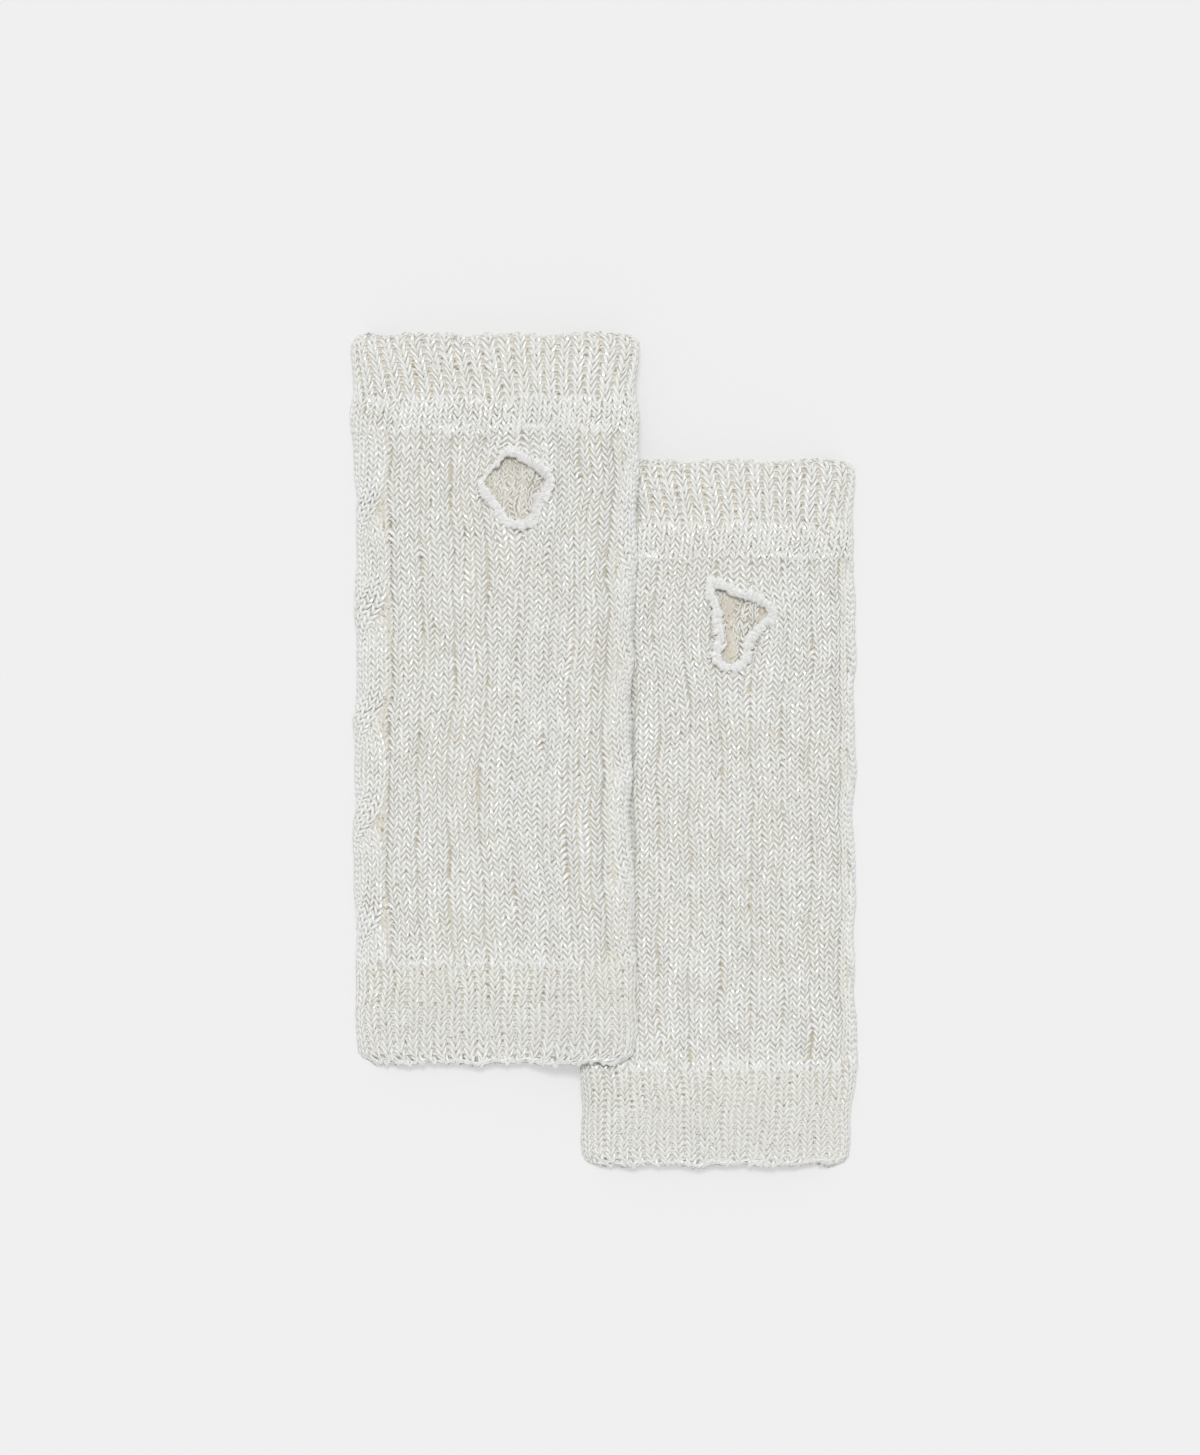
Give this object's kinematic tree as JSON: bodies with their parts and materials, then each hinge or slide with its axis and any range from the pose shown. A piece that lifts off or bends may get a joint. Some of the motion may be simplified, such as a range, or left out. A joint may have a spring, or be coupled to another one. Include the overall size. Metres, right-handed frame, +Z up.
{
  "type": "pair of fingerless gloves",
  "caption": "Pair of knitted fingerless gloves: ribbed hand tubes with bound thumb holes, doubled finger cuffs and ribbed wrist cuffs, laid flat and overlapping.",
  "frame": {"origin": "on the table under the middle of the pair's outline", "axes": "+Z up from the table, +Y towards the finger edges, +X across the palm"},
  "size_m": [0.141, 0.2336, 0.0185],
  "materials": {
    "hand_knit": "off-white wide-rib knit with fine metallic glints",
    "cuff_rib": "off-white fine-rib knit",
    "seam_yarn": "off-white chained yarn",
    "edging_yarn": "white overlock yarn, slightly fuzzy",
    "elastic_yarn": "covered elastic yarn"
  },
  "bodies": {
    "lower_glove": {"lower_hand_tube": "hand_knit", "lower_finger_cuff": "cuff_rib", "lower_cuff_link_seam": "seam_yarn", "lower_finger_elastic": "elastic_yarn", "lower_wrist_cuff": "cuff_rib", "lower_wrist_edge": "seam_yarn", "lower_wrist_elastic": "elastic_yarn", "lower_thumb_edging": "edging_yarn"},
    "upper_glove": {"upper_hand_tube": "hand_knit", "upper_finger_cuff": "cuff_rib", "upper_cuff_link_seam": "seam_yarn", "upper_finger_elastic": "elastic_yarn", "upper_wrist_cuff": "cuff_rib", "upper_wrist_edge": "seam_yarn", "upper_wrist_elastic": "elastic_yarn", "upper_thumb_edging": "edging_yarn"}
  },
  "joints": [
    {"name": "upper_glove_lift", "type": "slide", "parent": "lower_glove", "child": "upper_glove", "axis": [0, 0, 1], "range_m": [0, 0.06]}
  ]
}
